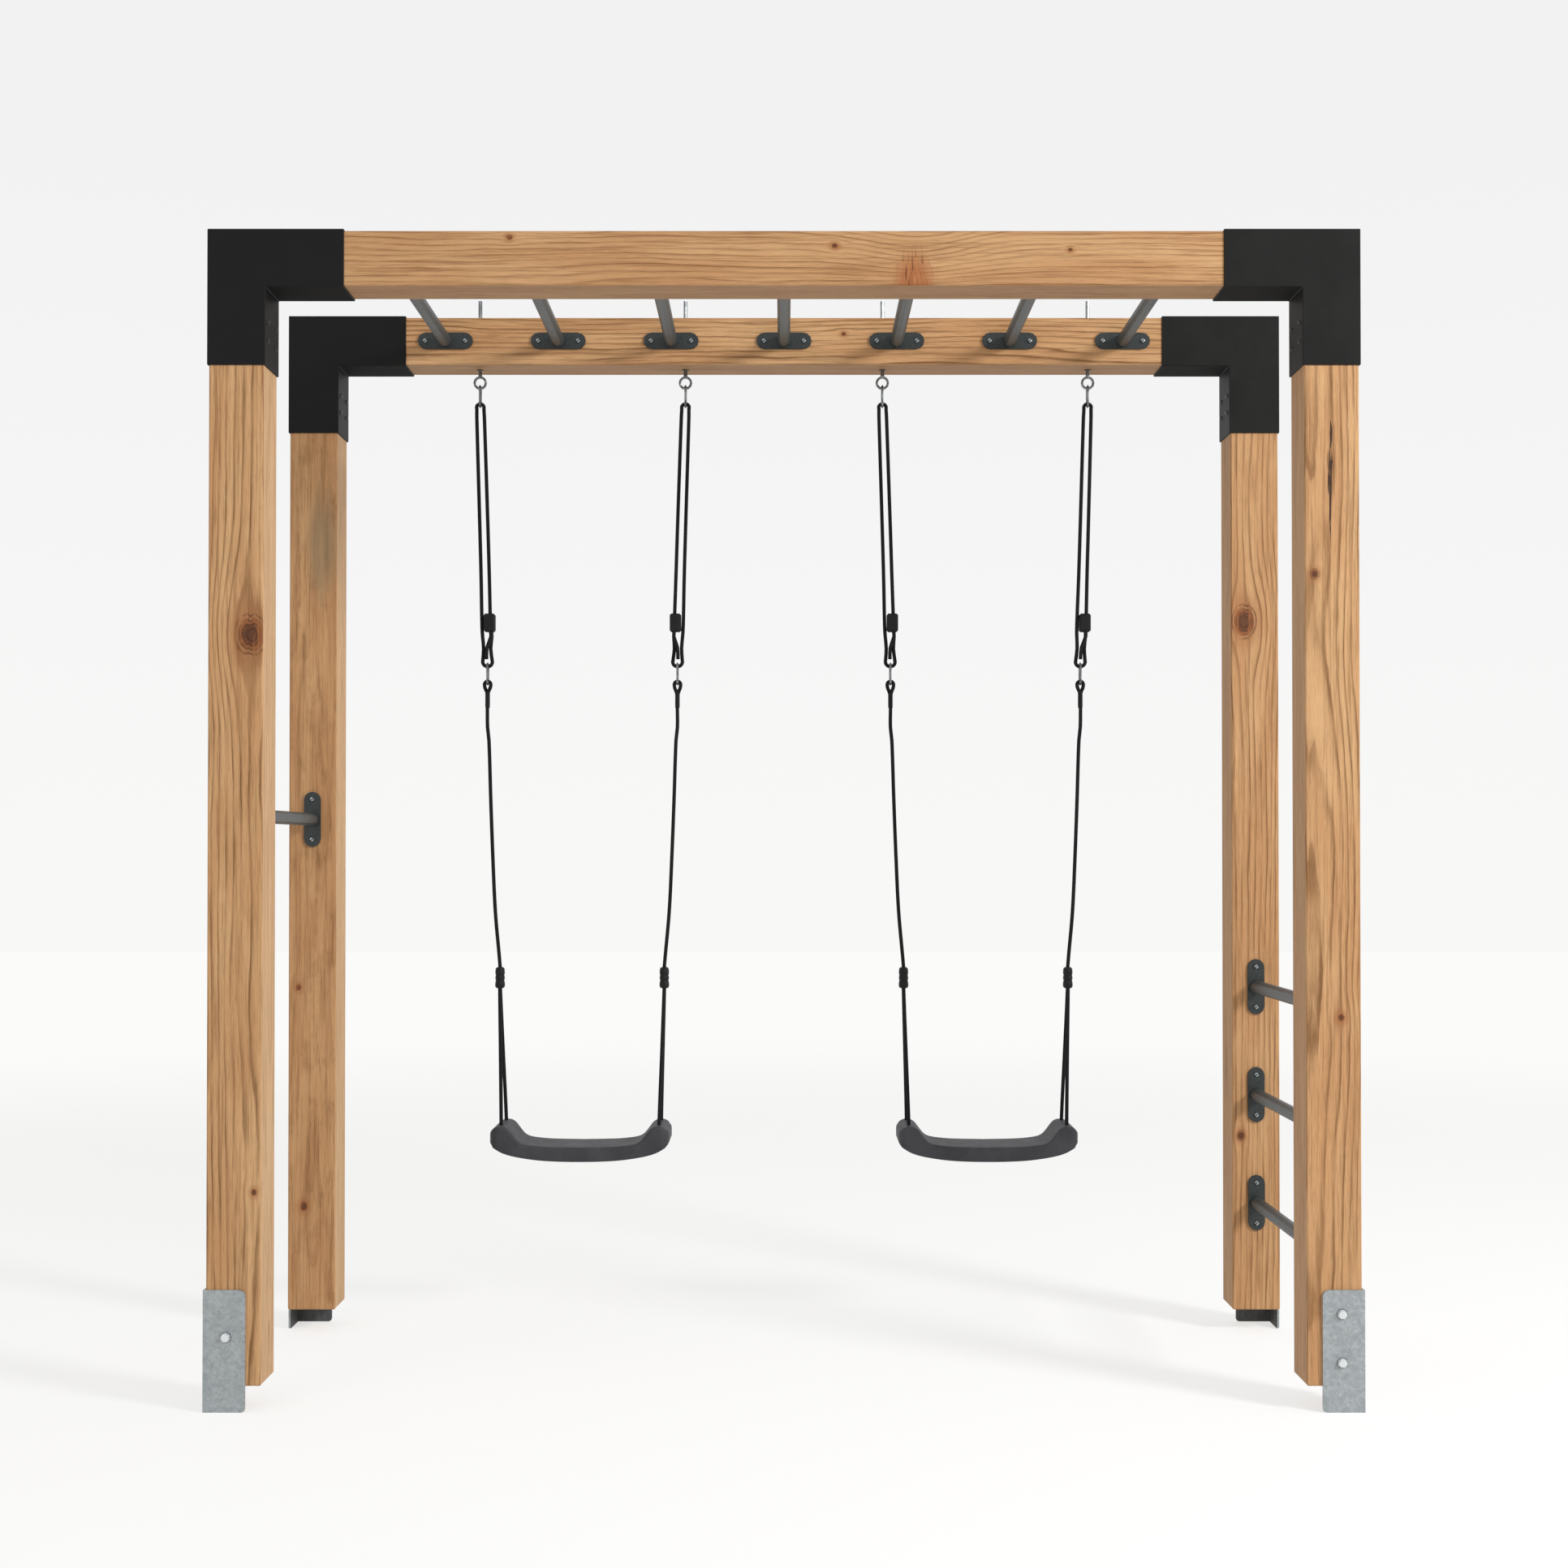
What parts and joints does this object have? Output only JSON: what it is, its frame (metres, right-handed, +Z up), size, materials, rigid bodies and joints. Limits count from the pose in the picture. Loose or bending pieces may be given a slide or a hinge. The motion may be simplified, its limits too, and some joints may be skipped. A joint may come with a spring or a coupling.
{
  "type": "wooden swing set with monkey bars",
  "caption": "Timber swing set: two post-and-beam portals joined by steel monkey bars, a side ladder and a side rung, with rope swings whose length adjusts hanging from the rear beam.",
  "frame": {"origin": "on the ground, at the centre of the four legs", "axes": "+X to the viewer's right along the beams, +Y from the front portal to the rear one that carries the swings, +Z up"},
  "size_m": [2.5386, 0.9253, 2.631],
  "materials": {
    "fir_timber": "planed, lightly oiled, with knots and drying cracks",
    "black_coated_steel": "satin black powder coat",
    "hammered_grey_steel": "dark grey hammered coat",
    "galvanised_steel": "hot-dip galvanised, dull with faint spangle",
    "bright_zinc": "bright zinc plated",
    "black_rope": "braided black polypropylene",
    "black_plastic": "moulded, matt",
    "charcoal_plastic": "moulded, fine grained"
  },
  "bodies": {
    "frame": {"post_front_left": "fir_timber", "post_front_right": "fir_timber", "post_rear_left": "fir_timber", "post_rear_right": "fir_timber", "beam_front": "fir_timber", "beam_rear": "fir_timber", "corner_bracket_front_left": "black_coated_steel", "corner_bracket_front_right": "black_coated_steel", "corner_bracket_rear_left": "black_coated_steel", "corner_bracket_rear_right": "black_coated_steel", "foot_angle_front_left": "galvanised_steel", "foot_angle_front_right": "galvanised_steel", "foot_angle_rear_left": "galvanised_steel", "foot_angle_rear_right": "galvanised_steel", "monkey_bar_1": "hammered_grey_steel", "monkey_bar_2": "hammered_grey_steel", "monkey_bar_3": "hammered_grey_steel", "monkey_bar_4": "hammered_grey_steel", "monkey_bar_5": "hammered_grey_steel", "monkey_bar_6": "hammered_grey_steel", "monkey_bar_7": "hammered_grey_steel", "ladder_rung_1": "hammered_grey_steel", "ladder_rung_2": "hammered_grey_steel", "ladder_rung_3": "hammered_grey_steel", "side_rung": "hammered_grey_steel", "eye_bolt_1": "bright_zinc", "eye_bolt_2": "bright_zinc", "eye_bolt_3": "bright_zinc", "eye_bolt_4": "bright_zinc"},
    "left_swing_top_gate_a": {"left_swing_top_gate_a": "bright_zinc"},
    "left_swing_low_gate_a": {"left_swing_low_gate_a": "bright_zinc"},
    "left_swing_top_gate_b": {"left_swing_top_gate_b": "bright_zinc"},
    "left_swing_low_gate_b": {"left_swing_low_gate_b": "bright_zinc"},
    "left_swing_upper": {"left_swing_top_hook_a": "bright_zinc", "left_swing_adjust_rope_a": "black_rope", "left_swing_adjuster_a": "black_plastic", "left_swing_top_hook_b": "bright_zinc", "left_swing_adjust_rope_b": "black_rope", "left_swing_adjuster_b": "black_plastic"},
    "left_swing_lower": {"left_swing_seat": "charcoal_plastic", "left_swing_low_hook_a": "bright_zinc", "left_swing_hang_rope_a": "black_rope", "left_swing_low_hook_b": "bright_zinc", "left_swing_hang_rope_b": "black_rope"},
    "right_swing_top_gate_a": {"right_swing_top_gate_a": "bright_zinc"},
    "right_swing_low_gate_a": {"right_swing_low_gate_a": "bright_zinc"},
    "right_swing_top_gate_b": {"right_swing_top_gate_b": "bright_zinc"},
    "right_swing_low_gate_b": {"right_swing_low_gate_b": "bright_zinc"},
    "right_swing_upper": {"right_swing_top_hook_a": "bright_zinc", "right_swing_adjust_rope_a": "black_rope", "right_swing_adjuster_a": "black_plastic", "right_swing_top_hook_b": "bright_zinc", "right_swing_adjust_rope_b": "black_rope", "right_swing_adjuster_b": "black_plastic"},
    "right_swing_lower": {"right_swing_seat": "charcoal_plastic", "right_swing_low_hook_a": "bright_zinc", "right_swing_hang_rope_a": "black_rope", "right_swing_low_hook_b": "bright_zinc", "right_swing_hang_rope_b": "black_rope"}
  },
  "joints": [
    {"name": "left_swing_swings", "type": "hinge", "parent": "frame", "child": "left_swing_upper", "pos_m": [-0.5171, 0.3835, 2.4055], "axis": [1, 0, 0], "range_deg": [-60, 60]},
    {"name": "left_swing_folds_at_low_hooks", "type": "hinge", "parent": "left_swing_upper", "child": "left_swing_lower", "pos_m": [-0.5171, 0.3835, 1.6902], "axis": [1, 0, 0], "range_deg": [-45, 45]},
    {"name": "left_swing_top_gate_a_opens", "type": "hinge", "parent": "left_swing_upper", "child": "left_swing_top_gate_a", "pos_m": [-0.7811, 0.37497, 2.37121], "axis": [-1, 0, 0], "range_deg": [0, 25], "stiffness_Nm_per_rad": 0.02, "springref_deg": -17.19},
    {"name": "left_swing_low_gate_a_opens", "type": "hinge", "parent": "left_swing_lower", "child": "left_swing_low_gate_a", "pos_m": [-0.7608, 0.37497, 1.65711], "axis": [-1, 0, 0], "range_deg": [0, 25], "stiffness_Nm_per_rad": 0.02, "springref_deg": -17.19},
    {"name": "left_swing_top_gate_b_opens", "type": "hinge", "parent": "left_swing_upper", "child": "left_swing_top_gate_b", "pos_m": [-0.2531, 0.37497, 2.37121], "axis": [-1, 0, 0], "range_deg": [0, 25], "stiffness_Nm_per_rad": 0.02, "springref_deg": -17.19},
    {"name": "left_swing_low_gate_b_opens", "type": "hinge", "parent": "left_swing_lower", "child": "left_swing_low_gate_b", "pos_m": [-0.2734, 0.37497, 1.65711], "axis": [-1, 0, 0], "range_deg": [0, 25], "stiffness_Nm_per_rad": 0.02, "springref_deg": -17.19},
    {"name": "right_swing_swings", "type": "hinge", "parent": "frame", "child": "right_swing_upper", "pos_m": [0.5171, 0.3835, 2.4055], "axis": [1, 0, 0], "range_deg": [-60, 60]},
    {"name": "right_swing_folds_at_low_hooks", "type": "hinge", "parent": "right_swing_upper", "child": "right_swing_lower", "pos_m": [0.5171, 0.3835, 1.6902], "axis": [1, 0, 0], "range_deg": [-45, 45]},
    {"name": "right_swing_top_gate_a_opens", "type": "hinge", "parent": "right_swing_upper", "child": "right_swing_top_gate_a", "pos_m": [0.2531, 0.37497, 2.37121], "axis": [-1, 0, 0], "range_deg": [0, 25], "stiffness_Nm_per_rad": 0.02, "springref_deg": -17.19},
    {"name": "right_swing_low_gate_a_opens", "type": "hinge", "parent": "right_swing_lower", "child": "right_swing_low_gate_a", "pos_m": [0.2734, 0.37497, 1.65711], "axis": [-1, 0, 0], "range_deg": [0, 25], "stiffness_Nm_per_rad": 0.02, "springref_deg": -17.19},
    {"name": "right_swing_top_gate_b_opens", "type": "hinge", "parent": "right_swing_upper", "child": "right_swing_top_gate_b", "pos_m": [0.7811, 0.37497, 2.37121], "axis": [-1, 0, 0], "range_deg": [0, 25], "stiffness_Nm_per_rad": 0.02, "springref_deg": -17.19},
    {"name": "right_swing_low_gate_b_opens", "type": "hinge", "parent": "right_swing_lower", "child": "right_swing_low_gate_b", "pos_m": [0.7608, 0.37497, 1.65711], "axis": [-1, 0, 0], "range_deg": [0, 25], "stiffness_Nm_per_rad": 0.02, "springref_deg": -17.19}
  ]
}
